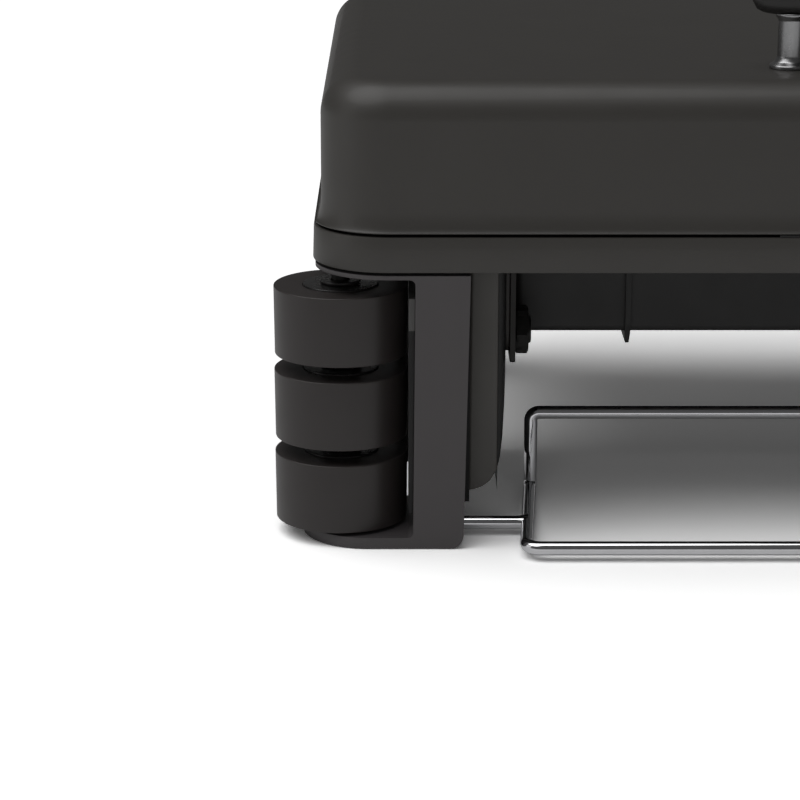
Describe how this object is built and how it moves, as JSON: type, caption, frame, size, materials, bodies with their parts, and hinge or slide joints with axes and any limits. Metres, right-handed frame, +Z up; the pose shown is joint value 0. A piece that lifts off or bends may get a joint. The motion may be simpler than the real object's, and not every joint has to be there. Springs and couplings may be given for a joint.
{
  "type": "electric griddle",
  "caption": "Tabletop electric griddle with a hinged lid, stacked thumbwheel dials in a C-shaped corner leg, a slide-out grease cup and a chromed wire rack under the body.",
  "frame": {"origin": "middle of the overall box at the level of the worktop", "axes": "+Z up, the front faces -Y, +X to the right seen from the front, along the longest side"},
  "size_m": [0.514, 0.3658, 0.2358],
  "materials": {
    "body_enamel": "satin baked enamel",
    "leg_coating": "fine satin powder coat",
    "dial_plastic": "fine matt",
    "hub_plastic": "semi gloss",
    "pod_plastic": "satin moulded",
    "cover_plastic": "satin moulded",
    "strip_plastic": "satin moulded",
    "pan_enamel": "heat-proof enamel",
    "black_steel": "black oxide",
    "rack_chrome": "bright plate",
    "rubber_black": "matt",
    "gasket_silicone": "matt",
    "plate_coating": "non-stick coating",
    "bright_sheet": "mill",
    "element_sheath": "oxidised",
    "plain_steel": "zinc plated",
    "ceramic_white": "glazed",
    "board_laminate": "solder mask",
    "switch_plastic": "gloss",
    "rocker_plastic": "gloss",
    "pin_brass": "nickelled",
    "cup_enamel": "satin enamel",
    "handle_steel": "brushed",
    "handle_grip": "fine matt",
    "hinge_steel": "black coat"
  },
  "bodies": {
    "chassis": {"base_band": "body_enamel", "front_leg_left": "leg_coating", "front_leg_right": "leg_coating", "rear_leg_left": "leg_coating", "rear_leg_right": "leg_coating", "spindle_spacers": "hub_plastic", "control_pod": "pod_plastic", "power_pod": "pod_plastic", "control_pod_cover": "cover_plastic", "power_pod_cover": "cover_plastic", "sensor_strip": "strip_plastic", "belly_pan": "pan_enamel", "pan_ribs": "pan_enamel", "pod_bolts": "black_steel", "pod_lugs": "black_steel", "pod_straps": "black_steel", "pod_nuts": "black_steel", "pan_screws": "black_steel", "leg_screws": "black_steel", "strip_screws": "black_steel", "dial_spindle": "black_steel", "spindle_nut": "black_steel", "wire_rack": "rack_chrome", "foot_pads": "rubber_black", "leg_gaskets": "rubber_black", "pod_gaskets": "rubber_black", "lid_bumpers": "rubber_black", "plate_gasket": "gasket_silicone", "cooking_plate": "plate_coating", "heat_reflector": "bright_sheet", "heating_element_left": "element_sheath", "heating_element_right": "element_sheath", "element_clips": "plain_steel", "terminal_pins": "plain_steel", "plate_screws": "plain_steel", "drain_spout": "plain_steel", "hinge_pins": "plain_steel", "temperature_sensors": "plain_steel", "terminal_bushes": "ceramic_white", "thermal_fuse": "ceramic_white", "control_board": "board_laminate", "switch_housing": "switch_plastic", "inlet_socket": "switch_plastic", "inlet_pins": "pin_brass", "hinge_brackets": "hinge_steel"},
    "dial_top_body": {"dial_top": "dial_plastic", "dial_hub_top": "hub_plastic"},
    "dial_middle_body": {"dial_middle": "dial_plastic", "dial_hub_middle": "hub_plastic"},
    "dial_bottom_body": {"dial_bottom": "dial_plastic", "dial_hub_bottom": "hub_plastic"},
    "lid_body": {"lid_shell": "body_enamel", "lid_liner": "bright_sheet", "handle_posts": "handle_steel", "handle_bar": "handle_grip", "handle_screws": "plain_steel", "hinge_arms": "hinge_steel"},
    "cup_body": {"grease_cup": "cup_enamel"},
    "rocker_body": {"power_rocker": "rocker_plastic"}
  },
  "joints": [
    {"name": "dial_bottom_turn", "type": "hinge", "parent": "chassis", "child": "dial_bottom_body", "pos_m": [-0.2284, -0.135, 0.0214], "axis": [0, 0, 1], "range_deg": [0, 270]},
    {"name": "dial_middle_turn", "type": "hinge", "parent": "chassis", "child": "dial_middle_body", "pos_m": [-0.2284, -0.135, 0.0579], "axis": [0, 0, 1], "range_deg": [0, 270]},
    {"name": "dial_top_turn", "type": "hinge", "parent": "chassis", "child": "dial_top_body", "pos_m": [-0.2284, -0.135, 0.0944], "axis": [0, 0, 1], "range_deg": [0, 270]},
    {"name": "lid_hinge", "type": "hinge", "parent": "chassis", "child": "lid_body", "pos_m": [0, 0.1764, 0.1362], "axis": [-1, 0, 0], "range_deg": [0, 95]},
    {"name": "cup_slide", "type": "slide", "parent": "chassis", "child": "cup_body", "axis": [0, -1, 0], "range_m": [0, 0.1]},
    {"name": "rocker_turn", "type": "hinge", "parent": "chassis", "child": "rocker_body", "pos_m": [0.202, -0.055, 0.066], "axis": [0, -1, 0], "range_deg": [0, 20]}
  ]
}
